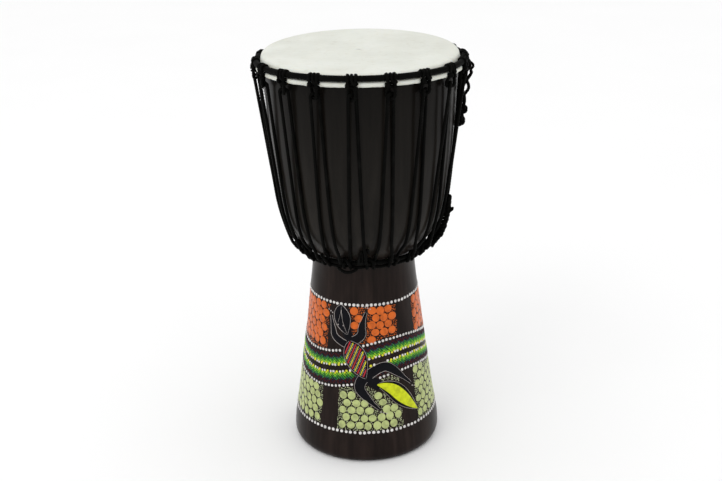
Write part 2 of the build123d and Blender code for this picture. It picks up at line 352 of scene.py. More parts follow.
def set_surface(tree, shader, color, gloss, low, high, heights):
    """Connects a colour, a roughness that runs from low to high with gloss, and bump layers."""
    tree.links.new(color, shader.inputs["Base Color"])
    tree.links.new(add_map_range(tree, gloss, low, high), shader.inputs["Roughness"])
    add_bump(tree, shader, heights)


def wood_material():
    """Dark stained wood under gloss varnish, with grain along the drum's height.

    It is reddest on the stem and more neutral on the bowl; towards the rim it darkens, partly deeper stain
    and partly painted shade from the rim above.
    """
    material, tree, shader = new_material(
        "stained_wood", (0.014, 0.008, 0.007), 0.36, Coat_Weight=0.22, Coat_Roughness=0.16,
        Coat_IOR=1.25, Specular_IOR_Level=0.04)
    grain = add_noise(tree, 60, 8, (1, 1, 0.06), 0.62)
    blotches = add_noise(tree, 9, 3, (1, 1, 0.5))
    fine = add_noise(tree, 420, 4, (1, 1, 0.035))
    dark = add_ramp(tree, grain, [(0.36, (0.0080, 0.0054, 0.0046)), (0.5, (0.0125, 0.0084, 0.0072)),
                                  (0.66, (0.020, 0.0138, 0.0115))])
    red = add_ramp(tree, grain, [(0.38, (0.0105, 0.0064, 0.0052)), (0.64, (0.024, 0.0145, 0.0120))])
    stem = add_mix(tree, blotches, dark, red)
    neutral = add_ramp(tree, grain, [(0.36, (0.0092, 0.0080, 0.0066)), (0.66, (0.0195, 0.0168, 0.0140))])
    color = add_mix(tree, add_height(tree, 0.29, 0.35), stem, neutral)
    # darker colour towards the rim: deeper stain and painted shade from the rim above
    rim_shade_and_stain = add_ramp(tree, grain, [(0.36, (0.0032, 0.0026, 0.0020)), (0.66, (0.0066, 0.0054, 0.0043))])
    color = add_mix(tree, add_height(tree, 0.36, 0.57), color, rim_shade_and_stain)
    set_surface(tree, shader, color, blotches, 0.24, 0.42,
                [(blotches, 0.25, 0.0016), (grain, 0.22, 0.0005), (fine, 0.25, 0.00018)])
    return material


def raw_wood_material():
    """Unvarnished inside of the shell."""
    material, tree, shader = new_material("raw_wood", (0.11, 0.062, 0.035), 0.8)
    grain = add_noise(tree, 70, 8, (1, 1, 0.08), 0.65)
    blotches = add_noise(tree, 14, 3)
    color = add_mix(
        tree, blotches,
        add_ramp(tree, grain, [(0.35, (0.06, 0.033, 0.02)), (0.62, (0.16, 0.096, 0.058))]),
        add_ramp(tree, grain, [(0.35, (0.085, 0.047, 0.028)), (0.62, (0.2, 0.125, 0.078))]),
    )
    tree.links.new(color, shader.inputs["Base Color"])
    add_bump(tree, shader, [(grain, 0.5, 0.001), (blotches, 0.3, 0.002)])
    return material


def skin_material():
    """Bleached goat skin: pale, faintly mottled, with pores."""
    material, tree, shader = new_material(
        "goat_skin", (0.76, 0.76, 0.7), 0.5, Subsurface_Weight=0.12, Subsurface_Scale=0.004)
    shader.inputs["Subsurface Radius"].default_value = (1.0, 0.75, 0.5)
    clouds = add_noise(tree, 16, 5, (1, 1, 1), 0.6)
    spots = add_noise(tree, 95, 3)
    pores = add_noise(tree, 900, 3)
    cloudy = add_ramp(tree, clouds, [(0.3, (0.64, 0.645, 0.575)), (0.52, (0.70, 0.71, 0.64)),
                                     (0.75, (0.75, 0.76, 0.70))])
    spotty = add_ramp(tree, clouds, [(0.3, (0.57, 0.56, 0.47)), (0.7, (0.68, 0.68, 0.60))])
    factor = add_ramp(tree, spots, [(0.56, (0, 0, 0)), (0.74, (0.75, 0.75, 0.75))])
    set_surface(tree, shader, add_mix(tree, factor, cloudy, spotty), clouds, 0.42, 0.6,
                [(clouds, 0.2, 0.002), (pores, 0.3, 0.00025)])
    return material


def rope_material():
    """Black polyester braid with a faint sheen and paler wear on the filaments."""
    material, tree, shader = new_material(
        "black_rope", (0.004, 0.004, 0.004), 0.7, Specular_IOR_Level=0.02)
    worn = add_noise(tree, 55, 4)
    filaments = add_noise(tree, 1500, 2)
    color = add_ramp(tree, worn, [(0.35, (0.0018, 0.0018, 0.0016)), (0.6, (0.0032, 0.0032, 0.0028)),
                                  (0.8, (0.0070, 0.0070, 0.0064))])
    set_surface(tree, shader, color, filaments, 0.36, 0.62, [(filaments, 0.5, 0.00022)])
    return material


def metal_material():
    """Galvanised steel rod."""
    material, tree, shader = new_material("galvanised_steel", (0.45, 0.45, 0.46), 0.4, Metallic=1.0)
    spangle = add_noise(tree, 220, 3)
    color = add_ramp(tree, spangle, [(0.35, (0.34, 0.34, 0.35)), (0.65, (0.56, 0.56, 0.57))])
    set_surface(tree, shader, color, spangle, 0.28, 0.55, [(spangle, 0.15, 0.0003)])
    return material


PAINT_ROUGHNESS = 0.32
GLOSSY_PAINT = 0.3
DULL_PAINTS = {"maroon": 0.1, "navy": 0.1, "black": 0.08}
PAINT_COLORS = {
    "white": (0.70, 0.68, 0.66),
    "orange": (0.61, 0.118, 0.010),
    "pale_green": (0.44, 0.50, 0.20),
    "pale_speck": (0.50, 0.55, 0.32),
    "lime_yellow": (0.59, 0.66, 0.004),
    "yellow": (0.74, 0.70, 0.03),
    "lime": (0.20, 0.50, 0.025),
    "green": (0.03, 0.24, 0.022),
    "teal": (0.012, 0.085, 0.065),
    "maroon": (0.060, 0.008, 0.012),
    "navy": (0.016, 0.012, 0.030),
    "red": (0.42, 0.018, 0.03),
    "black": (0.0045, 0.0045, 0.0065),
    "outline": (0.42, 0.38, 0.36),
}


def paint_material(name, color, shine):
    """Hand-laid acrylic paint under varnish: small changes of tone and a brushed surface."""
    material, tree, shader = new_material(
        name, color, PAINT_ROUGHNESS, Coat_Weight=shine, Coat_Roughness=0.18, Coat_IOR=1.3,
        Specular_IOR_Level=0.6 * shine)
    tone = add_noise(tree, 130, 3)
    brush = add_noise(tree, 900, 2)
    thin = tuple(0.72 * c for c in color)
    full = tuple(min(1.0, 1.14 * c) for c in color)
    set_surface(tree, shader, add_ramp(tree, tone, [(0.32, thin), (0.52, color), (0.72, full)]),
                brush, PAINT_ROUGHNESS - 0.07, PAINT_ROUGHNESS + 0.1,
                [(tone, 0.15, 0.0004), (brush, 0.2, 0.0001)])
    return material


def floor_material():
    """White studio floor."""
    material, tree, shader = new_material("studio_floor", (0.95, 0.95, 0.95), 0.75)
    mottle = add_noise(tree, 3, 2)
    tree.links.new(add_ramp(tree, mottle, [(0.3, (0.945, 0.945, 0.945)), (0.7, (0.955, 0.955, 0.955))]),
                   shader.inputs["Base Color"])
    return material


WOOD = wood_material()
RAW_WOOD = raw_wood_material()
SKIN = skin_material()
ROPE = rope_material()
METAL = metal_material()
PAINTS = {
    name: paint_material(f"paint_{name}", color, DULL_PAINTS.get(name, GLOSSY_PAINT))
    for name, color in PAINT_COLORS.items()
}


# ---------- camera, light and floor
CAMERA_HEIGHT = 1012.1
CAMERA_DISTANCE = 1737.8
CAMERA_SIDE = -3.5
CAMERA_PITCH = 21.92
CAMERA_ROLL = -1.08
CAMERA_LENS = 63.18
CAMERA_SENSOR = 36
CAMERA_REACH = 30            # in metres
SKY_STOPS = [(0.0, (0.55, 0.55, 0.55)), (0.35, (0.72, 0.72, 0.72)), (1.0, (1.0, 1.0, 1.0))]
SKY_STRENGTH = 1.2
KEY_POWER = 12
KEY_PLACE = (-1.2, -1.6, 2.6)    # in metres, like its target and its sides
KEY_TARGET = (0, 0, 0.4)
KEY_SIDE = 1.4
FLOOR_HALF = 60.0            # in metres


def set_camera():
    """Camera that looks at the drum from the front and a little above."""
    data = bpy.data.cameras.new("camera")
    data.lens = CAMERA_LENS
    data.sensor_width = CAMERA_SENSOR
    data.clip_end = CAMERA_REACH
    camera = bpy.data.objects.new("camera", data)
    bpy.context.scene.collection.objects.link(camera)
    camera.location = (CAMERA_SIDE * MM, -CAMERA_DISTANCE * MM, CAMERA_HEIGHT * MM)
    pitch = Matrix.Rotation(math.radians(90 - CAMERA_PITCH), 3, "X")
    roll = Matrix.Rotation(math.radians(CAMERA_ROLL), 3, "Z")
    camera.rotation_euler = (pitch @ roll).to_euler()
    bpy.context.scene.camera = camera


def set_key_light():
    """Square light from the front, the left and above, aimed at the drum."""
    data = bpy.data.lights.new("key", "AREA")
    data.shape = "RECTANGLE"
    data.size = KEY_SIDE
    data.size_y = KEY_SIDE
    data.energy = KEY_POWER
    light = bpy.data.objects.new("key", data)
    light.location = KEY_PLACE
    aim = Vector(KEY_TARGET) - Vector(KEY_PLACE)
    light.rotation_euler = aim.to_track_quat("-Z", "Y").to_euler()
    bpy.context.scene.collection.objects.link(light)


def set_stage():
    """White sky that is brightest overhead, the key light and the floor."""
    bpy.context.scene.view_settings.view_transform = "Standard"
    world = bpy.data.worlds.new("studio")
    world.use_nodes = True
    tree = world.node_tree
    direction = add_node(tree, "TexCoord", {}, {}).outputs["Generated"]
    parts = add_node(tree, "SeparateXYZ", {}, {"Vector": direction})
    sky = add_ramp(tree, parts.outputs["Z"], SKY_STOPS)
    tree.links.new(sky, tree.nodes["Background"].inputs["Color"])
    tree.nodes["Background"].inputs["Strength"].default_value = SKY_STRENGTH
    bpy.context.scene.world = world
    set_key_light()
    mesh = bpy.data.meshes.new("floor")
    corners = [(x * FLOOR_HALF, y * FLOOR_HALF, 0) for x, y in ((-1, -1), (1, -1), (1, 1), (-1, 1))]
    mesh.from_pydata(corners, [], [(0, 1, 2, 3)])
    mesh.materials.append(floor_material())
    floor = bpy.data.objects.new("floor", mesh)
    bpy.context.scene.collection.objects.link(floor)


set_camera()
set_stage()

# ---------- tail cord
TAIL_AZIMUTH = FIRST_HITCH + 4.5 * HITCH_PITCH
BECKET_RADIUS = 153.0
BECKET_HEIGHT = 577.0
BECKET_HALF_WIDTH = 8.0
EYE_BEND = 2 * ROPE_RADIUS + 0.45
EYE_ROPE_RADIUS = 1.85
EYE_LINE_BEND = 4.55
EYE_STEPS = 12
FIRST_PARTING = 0.07         # shares of the tail's length
CROSSING_SPACING = 0.31
STRAND_SPREADS = ([0, FIRST_PARTING, 0.42, 0.56, 1], [2.4, 4.0, 4.1, 2.3, 2.2])
STRAND_SETBACKS = ([0, 0.15, 0.5, 1], [0.4, 2.0, 1.0, 0.0])
SIDE_SPREAD = 2.5            # the strands part no further than this sideways
SECOND_STRAND_PHASE = 1.7
TAIL_ROUTE = [
    (BECKET_RADIUS, BECKET_HEIGHT - EYE_BEND),
    (151.6, 560.5),
    (149.6, 548.5),
    (147.0, 536.0),
    (144.2, 523.5),
    (142.2, 512.0),
    (141.0, 502.0),
]
TAIL_STRAND_RADIUS = 2.25
KNOT_CENTRE = (140.6, 498.0)
KNOT_SIZE = 7.4
UPPER_KNOT_CENTRE = (144.6, 514.5)
UPPER_KNOT_SIZE = 6.6
KNOT_ROPE_RADIUS = 2.15
KNOT_LOBES = 3
KNOT_SAMPLES = 260
KNOT_SHAPE = (0.95, 1.45, 0.6)   # reach outwards, up and sideways, as shares of its size


def strand_pair(line):
    """Two strands of the doubled rope: they part twice near the top, then twist tight."""
    out = place(TAIL_AZIMUTH, 1, 0)
    across = place(TAIL_AZIMUTH, 0, 0, 1)
    along = distances(line)
    share = along / along[-1]
    angle = math.pi * (share - FIRST_PARTING) / CROSSING_SPACING
    spread = np.interp(share, *STRAND_SPREADS)
    line = line - out * np.interp(share, *STRAND_SETBACKS)[:, None]
    shift = (out * (spread * np.cos(angle))[:, None]
             + across * (np.minimum(spread, SIDE_SPREAD) * np.sin(angle))[:, None])
    return line + shift, line - shift


def make_tail():
    """Doubled, twisted rope that hangs from the becket, with its eye and its end knot."""
    points = [place(TAIL_AZIMUTH, radius, height) for radius, height in TAIL_ROUTE]
    line = spaced(smooth_route(points), BRAID_STEP)
    strands = [tube(spaced(strand, BRAID_STEP), TAIL_STRAND_RADIUS, phase=phase)
               for strand, phase in zip(strand_pair(line), (0.0, SECOND_STRAND_PHASE))]
    tail = rope_object("rope_tail_strands", joined(strands), "tail")
    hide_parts("rope_tail")

    eye_points = []
    swell = EYE_LINE_BEND / math.cos(math.pi / EYE_STEPS)
    for step in range(EYE_STEPS):
        angle = 2 * math.pi * step / EYE_STEPS
        eye_points.append(place(TAIL_AZIMUTH, BECKET_RADIUS + swell * math.cos(angle),
                                BECKET_HEIGHT + swell * math.sin(angle)))
    eye_line = smooth_route(eye_points, cyclic=True)
    eye = rope_object("tail_eye", closed_rope(eye_line, EYE_ROPE_RADIUS), "tail")

    knot = make_knot("tail_end_knot", KNOT_CENTRE, KNOT_SIZE)
    upper = make_knot("tail_upper_knot", UPPER_KNOT_CENTRE, UPPER_KNOT_SIZE)
    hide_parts("tail_knot")


def make_knot(name, centre, size):
    """Tight knot on the tail: a closed rope wound with a few lobes, taller than it is wide."""
    out = place(TAIL_AZIMUTH, 1, 0)
    side = place(TAIL_AZIMUTH, 0, 0, 1)
    up = np.array([0.0, 0.0, 1.0])
    out_reach, up_reach, side_reach = [(size - KNOT_ROPE_RADIUS) * share for share in KNOT_SHAPE]
    angle = np.linspace(0, 2 * math.pi, KNOT_SAMPLES, endpoint=False)[:, None]
    ring = (2 + np.cos(KNOT_LOBES * angle)) / 3
    line = (place(TAIL_AZIMUTH, *centre)
            + out * out_reach * ring * np.cos(2 * angle)
            + up * up_reach * ring * np.sin(2 * angle)
            + side * side_reach * np.sin(KNOT_LOBES * angle))
    return rope_object(name, closed_rope(line, KNOT_ROPE_RADIUS), "tail")


make_tail()


LOOSE_ROUTE = [
    # azimuth, radius, height
    (-24.0, 92.3, 306.6),
    (-19.5, 94.6, 302.6),
    (-14.6, 95.6, 301.4),
    (-10.0, 94.8, 302.8),
    (-5.6, 92.3, 306.6),
]


def make_loose_end():
    """Slack rope that sags just under the bottom ring."""
    points = [place(*point) for point in LOOSE_ROUTE]
    piece = rope_object("loose_end_rope", rope_shape(points))
    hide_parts("loose_end")


make_loose_end()

# ---------- shell
SHELL_SEGMENTS = 320
MARKS_TOP = 560.0            # the tool marks fade out up to this height
RAY_START = 0.3              # metres from the axis, outside the drum


def cad_radii(levels):
    """Outer and inner radius of the CAD shell at each height, by rays across it."""
    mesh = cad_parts["shell"].data
    tree = BVHTree.FromPolygons([v.co for v in mesh.vertices], [p.vertices for p in mesh.polygons])
    outer, inner = [], []
    for level in levels:
        from_outside = tree.ray_cast(Vector((RAY_START, 0, level * MM)), Vector((-1, 0, 0)))[0]
        from_axis = tree.ray_cast(Vector((0, 0, level * MM)), Vector((1, 0, 0)))[0]
        outer.append(from_outside.x / MM)
        inner.append(from_axis.x / MM)
    return np.array(outer), np.array(inner)


FOOT_LEVELS = [0.06, 0.5, 1.3, 2.4, 3.8, 5.4, 7.2, 9.2, 11.4, 14.0]
RIM_LEVELS = [593.5, 594.8, 596.0, 597.2, 598.2, 598.8]
BORE_TOP = 593.9
LEVELS = np.array(FOOT_LEVELS + list(np.arange(18.0, 592.0, 3.5)) + RIM_LEVELS)
OUTER, INNER = cad_radii(LEVELS)


def carving(angle, height):
    """Hand-carved unevenness of the outside, in millimetres."""
    slow = np.sin(3 * angle + height * 0.017) * np.sin(height * 0.024 + 1.3)
    facets = np.sin(11 * angle + 1.7 * np.sin(height * 0.021)) * np.sin(height * 0.06)
    fade = np.clip((MARKS_TOP - height) / 60, 0, 1) * np.clip(height / 8, 0, 1)
    return (0.22 * slow + 0.12 * facets) * fade


def gouging(angle, height):
    """Gouge marks on the inside, in millimetres outwards."""
    marks = np.abs(np.sin(17 * angle + 0.8 * np.sin(height * 0.045)))
    steps = np.abs(np.sin(height * 0.075 + 2 * np.sin(5 * angle)))
    fade = np.clip((MARKS_TOP - height) / 30, 0, 1) * np.clip(height / 20, 0, 1)
    return 0.7 * marks * steps * fade


def shell_radius(azimuth, height):
    """Radius of the carved outside at an azimuth in degrees and a height."""
    angle = np.radians(azimuth) - math.pi / 2
    return np.interp(height, LEVELS, OUTER) + carving(angle, height)


def make_shell():
    """Carved shell, closed round the rim and the foot, with bare wood inside."""
    bore = LEVELS < BORE_TOP
    outside = list(zip(OUTER, LEVELS))
    inside = list(zip(INNER[bore], LEVELS[bore]))[::-1]
    profile = outside + inside
    turn_over = len(outside)

    def offset(radius, height, angles):
        out = carving(angles[None, :], height)
        out[turn_over:] = gouging(angles[None, :], height[turn_over:])
        return out, np.zeros_like(out)

    vertices, (rows, columns) = lathe(profile, SHELL_SEGMENTS, offset)
    faces = grid_faces(rows, columns, wrap_rows=True)
    row_of_face = np.arange(len(faces)) // columns
    is_inside = (row_of_face >= turn_over) & (row_of_face < rows - 1)
    shell = mesh_object("shell_carved", (vertices, faces), [WOOD, RAW_WOOD],
                        face_material=is_inside.astype(int))
    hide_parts("shell")


make_shell()


# ---------- painted decoration
DOT_RINGS = [(1.0, -0.12), (0.93, 0.42), (0.7, 0.82), (0.36, 0.97)]   # shares of radius and lift
EDGE_LIFT = -0.1             # a band's edges lie just under the wood
paint_parts = {color: [] for color in PAINTS}
hand = random.Random(20)     # unevenness of the painter's hand


def on_shell(azimuth, height, lift):
    """Points on the carved outside, raised by lift."""
    radius = shell_radius(azimuth, height) + lift
    angle = np.radians(azimuth)
    return np.stack([radius * np.sin(angle), -radius * np.cos(angle), height + 0 * radius], -1)


def dot(color, azimuth, height, radius, lift, sides):
    """Raised drop of paint, a little out of round."""
    around = np.arange(sides) / sides * 2 * math.pi + hand.uniform(0, 1)
    stretch = hand.uniform(0.94, 1.07)
    centre_radius = float(shell_radius(azimuth, height))
    rings = []
    for share, rise in DOT_RINGS:
        across = share * radius * stretch * np.cos(around)
        up = share * radius / stretch * np.sin(around)
        rings.append(on_shell(azimuth + np.degrees(across / centre_radius), height + up, lift * rise))
    rings.append(on_shell(np.array([azimuth]), np.array([height]), lift))
    vertices = np.vstack(rings)
    faces = grid_faces(len(DOT_RINGS), sides)
    top = len(vertices) - 1
    last = (len(DOT_RINGS) - 1) * sides
    faces += [(last + side, last + (side + 1) % sides, top) for side in range(sides)]
    paint_parts[color].append((vertices, faces))


def flattened(spine):
    """Shell's radius along (azimuth, height) points, the points laid out flat, and their normals."""
    radius = shell_radius(spine[:, 0], spine[:, 1])
    flat = np.stack([np.radians(spine[:, 0]) * radius, spine[:, 1]], 1)
    tangents = unit_tangents(flat)
    return radius, flat, np.stack([-tangents[:, 1], tangents[:, 0]], 1)


def strip(color, spine, half_widths, lift, across, crown=0.3):
    """Painted band on the shell along (azimuth, height) points, raised in the middle."""
    radius, flat, normals = flattened(spine)
    rows = []
    for index, share in enumerate(np.linspace(-1, 1, across)):
        point = flat + normals * (half_widths * share)[:, None]
        azimuth = np.degrees(point[:, 0] / radius)
        rise = EDGE_LIFT if index in (0, across - 1) else lift + crown * (1 - share ** 2)
        rows.append(on_shell(azimuth, point[:, 1], rise))
    vertices = np.stack(rows, 1).reshape(-1, 3)
    faces = [face[::-1] for face in grid_faces(len(spine), across, wrap_columns=False)]
    paint_parts[color].append((vertices, faces))


def curve_through(points, count):
    """Smooth (azimuth, height) line led by a few points."""
    line = smooth_route([(azimuth, height, 0) for azimuth, height in points])
    return even_points(line, count)[:, :2]


def leaf_widths(width, blunt, count):
    """Half widths of a leaf from its root to its tip, widest where blunt places it."""
    share = np.linspace(0, 1, count)
    return width / 2 * np.sin(math.pi * share ** blunt) ** 0.8 + 0.02


def leaf(color, points, width, lift):
    """Leaf-shaped fill along a few points; returns its spine and half widths."""
    spine = curve_through(points, FIGURE_SAMPLES)
    widths = leaf_widths(width, LEAF_BLUNT, FIGURE_SAMPLES)
    strip(color, spine, widths, lift, 9)
    return spine, widths


def leaf_edges(color, spine, widths, line_width, lift):
    """Thin lines along both edges of a shape."""
    radius, flat, normals = flattened(spine)
    for side in (-1, 1):
        edge = flat + normals * widths[:, None] * side
        line = np.stack([np.degrees(edge[:, 0] / radius), edge[:, 1]], 1)
        strip(color, line, np.full(len(spine), line_width / 2), lift, 5, 0.1)


def fine_line(points, width):
    """Thin pale line along a few points."""
    spine = curve_through(points, LINE_SAMPLES)
    strip("outline", spine, np.full(LINE_SAMPLES, width / 2), 1.0, 5, 0.12)


# Bands: two level rings of dots and a wavy band between them
RINGS = {"upper": 244.0, "lower": 49.2}
WAVE_LOW = 126.0
WAVE_HIGH = 178.0
WAVE_SWING = 12.0
DOTTED_LINES = [
    # ring, or share of the wavy band's height, number of dots, dot radius
    ("upper", 80, 2.3),
    ("lower", 96, 2.4),
    (1.0, 94, 2.05),
    (0.0, 98, 2.05),
]
WAVE_ROWS = [
    # share of the band's height, colours by turns, dots round, dot radius
    (0.905, ("maroon", "navy", "maroon"), 150, 1.35),
    (0.865, ("maroon", "maroon", "navy"), 150, 1.35),
    (0.825, ("navy", "maroon", "teal"), 150, 1.3),
    (0.790, ("teal", "teal", "green"), 150, 1.35),
    (0.752, ("green",), 150, 1.4),
    (0.715, ("green", "lime"), 150, 1.4),
    (0.676, ("lime",), 150, 1.5),
    (0.640, ("lime", "yellow"), 150, 1.5),
    (0.598, ("white", "white", "yellow"), 112, 1.95),
    (0.402, ("white", "yellow", "white"), 112, 1.95),
    (0.362, ("yellow", "lime"), 150, 1.5),
    (0.325, ("lime",), 150, 1.5),
    (0.287, ("lime", "green"), 150, 1.4),
    (0.250, ("green",), 150, 1.4),
    (0.212, ("teal", "green", "teal"), 150, 1.35),
    (0.175, ("teal", "maroon", "navy"), 150, 1.3),
    (0.135, ("maroon", "maroon", "navy"), 150, 1.35),
    (0.095, ("navy", "maroon", "maroon"), 150, 1.35),
]


def wave(azimuth, share):
    """Height in the wavy band at an azimuth; share is 0 at its lower edge and 1 at its upper one."""
    swing = WAVE_SWING * math.sin(math.radians(2 * (azimuth + 5 + 8 * share)))
    return WAVE_LOW + (WAVE_HIGH - WAVE_LOW) * share + swing


# Figure on the front: a plain lizard with a striped body and a leaf for its tail
FIGURE_SAMPLES = 60
LINE_SAMPLES = 40
LEAF_BLUNT = 0.85
HEAD = [(-24.5, 243.0), (-25.5, 222.0), (-17.5, 199.0)]
HEAD_WIDTH = 25.0
NECK = [(-20.0, 208.0), (-17.0, 197.0), (-13.5, 186.0)]
NECK_HALF = 7.0
BODY = [(-15.0, 190.0), (-9.5, 162.0), (-0.2, 133.0)]
BODY_WIDTH = 32.2
BODY_BLUNT = 0.8
BODY_SAMPLES = 80
HIPS = [(-2.0, 139.0), (4.5, 128.0), (12.5, 119.5)]
HIPS_HALF = 8.0
TAIL_LEAF = [(9.5, 123.0), (21.0, 118.0), (33.0, 96.0), (47.5, 68.5)]
TAIL_WIDTH = 27.0
TAIL_BORDER = 2.5
LIMBS = [
    # points of the limb from the body out, widths at its root and its end
    ([(-12.0, 190.0), (-2.5, 196.0), (-4.0, 214.0), (1.5, 234.0)], 13.0, 3.2),
    ([(-19.0, 184.0), (-31.0, 190.0), (-33.0, 206.0), (-36.0, 224.0)], 11.0, 3.2),
    ([(2.0, 138.0), (13.0, 151.0), (25.0, 146.0), (43.0, 113.0)], 15.0, 3.2),
    ([(-2.0, 134.0), (-8.0, 122.0), (-0.5, 104.0), (11.0, 84.0)], 16.0, 3.2),
]
TOE_SPREADS = (-0.55, 0.0, 0.55)
EYE_PLACE = (-24.6, 212.0)
EYE_SIDE = 2.86


def limb_widths(root, end, count):
    """Half widths of a limb that thins from its root to its end, with a slight swell."""
    share = np.linspace(0, 1, count)
    swell = np.sin(math.pi * np.clip(share * 1.25, 0, 1)) * 0.18 * root
    return (root + (end - root) * share + swell) / 2


def figure_shapes():
    """Every filled shape of the figure as a spine with half widths."""
    count = FIGURE_SAMPLES
    shapes = [
        (HEAD, leaf_widths(HEAD_WIDTH, LEAF_BLUNT, count)),
        (NECK, np.full(count, NECK_HALF)),
        (BODY, leaf_widths(BODY_WIDTH, BODY_BLUNT, count)),
        (HIPS, np.full(count, HIPS_HALF)),
        (TAIL_LEAF, leaf_widths(TAIL_WIDTH, LEAF_BLUNT, count)),
    ]
    shapes += [(points, limb_widths(root, end, count)) for points, root, end in LIMBS]
    return [(curve_through(points, count), widths) for points, widths in shapes]


FIGURE_SHAPES = figure_shapes()


def flat_place(azimuth, height):
    """Place on the shell laid out flat, in millimetres across and up."""
    return math.radians(azimuth) * float(np.interp(height, LEVELS, OUTER)), height


def clear_of_figure(azimuth, height, margin):
    """True where a place is at least margin away from the figure."""
    if abs(azimuth) > 70:
        return True
    across, up = flat_place(azimuth, height)
    for spine, widths in FIGURE_SHAPES:
        radius = np.interp(spine[:, 1], LEVELS, OUTER)
        gap = np.hypot(np.radians(spine[:, 0]) * radius - across, spine[:, 1] - up) - widths
        if gap.min() < margin:
            return False
    return True


def line_height(name, azimuth):
    """Height at an azimuth of a level ring, by its name, or of a line of the wave, by its share."""
    return RINGS[name] if name in RINGS else wave(azimuth, name)


def wrapped(azimuth):
    """The same azimuth between -180 and 180 degrees."""
    return (azimuth + 180) % 360 - 180


def place_round(index, count):
    """Azimuth of one of count even places round the drum, a little off by hand."""
    return wrapped(index * 360 / count + hand.uniform(-0.25, 0.25))


def paint_rings():
    """White dots along the two level rings and the edges of the wavy band."""
    for name, count, size in DOTTED_LINES:
        for index in range(count):
            azimuth = place_round(index + 0.5, count)
            height = line_height(name, azimuth) + hand.uniform(-0.3, 0.3)
            if name in RINGS or clear_of_figure(azimuth, height, 1.2):
                dot("white", azimuth, height, size * hand.uniform(0.93, 1.06), 0.8, 12)


def paint_wave():
    """Rows of small dots that fill the wavy band."""
    for row, (share, colors, count, size) in enumerate(WAVE_ROWS):
        for index in range(count):
            azimuth = place_round(index + 0.5 * (row % 2), count)
            height = wave(azimuth, share) + hand.uniform(-0.3, 0.3)
            color = colors[index % len(colors)]
            if clear_of_figure(azimuth, height, 0.5):
                dot(color, azimuth, height, size * hand.uniform(0.9, 1.1), 0.6, 8)


PATCH_COUNT = 5
PATCH_PITCH = 360 / PATCH_COUNT
PATCHES = [
    # first and last azimuth, lines below and above, colours of the large and tiny dots,
    # radius and spacing of the large dots
    (-15, 33, 1.0, "upper", "orange", "orange", 6.3, 12.6),
    (-24, 31, "lower", 0.0, "pale_green", "pale_speck", 6.1, 13.2),
]
TOP_GAP = 2.6                # between a patch's upper line and its first large dots
ROW_SHARE = 0.87             # distance between rows as a share of the dots' spacing
TINY_PITCH = 2.5
TINY_MARGIN = 3.0            # between the tiny dots and the lines round a patch


def furthest(pick, first, last, name):
    """Lowest or highest height of a line, by min or max, at a patch's sides and middle."""
    return pick(line_height(name, azimuth) for azimuth in (first, last, (first + last) / 2))


def paint_large_dots(first, last, low, high, color, big_radius, spacing):
    """Large dots in staggered rows; returns each one's flat place and radius."""
    placed = []
    row = 0
    height = furthest(max, first, last, high) - big_radius - TOP_GAP
    while height > furthest(min, first, last, low):
        radius = float(np.interp(height, LEVELS, OUTER))
        step = math.degrees(spacing / radius)
        azimuth = first + math.degrees(big_radius / radius) + (row % 2) * step / 2
        while azimuth < last - math.degrees(big_radius * 0.75 / radius):
            across = azimuth + hand.uniform(-0.5, 0.5)
            up = height + hand.uniform(-0.6, 0.6)
            size = big_radius * hand.uniform(0.92, 1.05)
            fits = line_height(low, across) + size * 0.86 < up < line_height(high, across) - size * 0.9
            if fits and clear_of_figure(wrapped(across), up, size * 0.55):
                dot(color, wrapped(across), up, size, 0.5, 18)
                placed.append((*flat_place(across, up), size))
            azimuth += step
        height -= spacing * ROW_SHARE
        row += 1
    return np.array(placed)


def paint_tiny_dots(first, last, low, high, color, placed):
    """Tiny dots in the gaps between the large ones."""
    height = furthest(max, first, last, high)
    while height > furthest(min, first, last, low):
        radius = float(np.interp(height, LEVELS, OUTER))
        step = math.degrees(TINY_PITCH / radius)
        azimuth = first
        while azimuth < last:
            across = azimuth + hand.uniform(-0.35, 0.35) * step
            up = height + hand.uniform(-0.7, 0.7)
            size = hand.uniform(0.55, 0.9)
            azimuth += step
            floor, ceiling = line_height(low, across), line_height(high, across)
            if not floor + TINY_MARGIN < up < ceiling - TINY_MARGIN:
                continue
            flat = flat_place(across, up)
            gap = (np.hypot(placed[:, 0] - flat[0], placed[:, 1] - flat[1]) - placed[:, 2]).min()
            if gap > size * 0.9 and clear_of_figure(wrapped(across), up, size + 0.6):
                dot(color, wrapped(across), up, size, 0.4, 7)
        height -= TINY_PITCH


def paint_patches():
    """Patches of large dots with tiny dots between them, above and below the wavy band."""
    for index in range(PATCH_COUNT):
        turn = index * PATCH_PITCH
        for start, end, low, high, big_color, tiny_color, big_radius, spacing in PATCHES:
            first, last = start + turn, end + turn
            placed = paint_large_dots(first, last, low, high, big_color, big_radius, spacing)
            paint_tiny_dots(first, last, low, high, tiny_color, placed)


def paint_limb(points, root, end):
    """Black limb with a pale outline and three toes."""
    spine = curve_through(points, FIGURE_SAMPLES)
    widths = limb_widths(root, end, FIGURE_SAMPLES)
    strip("black", spine, widths, 0.45, 7)
    leaf_edges("outline", spine, widths, 0.55, 0.62)
    lean = spine[-1] - spine[-8]
    for spread in TOE_SPREADS:
        toe = spine[-1] + 1.1 * np.array([lean[0] - spread * 4.0, lean[1] + spread * 3.0])
        dot("outline", float(toe[0]), float(toe[1]), 1.15, 0.6, 10)


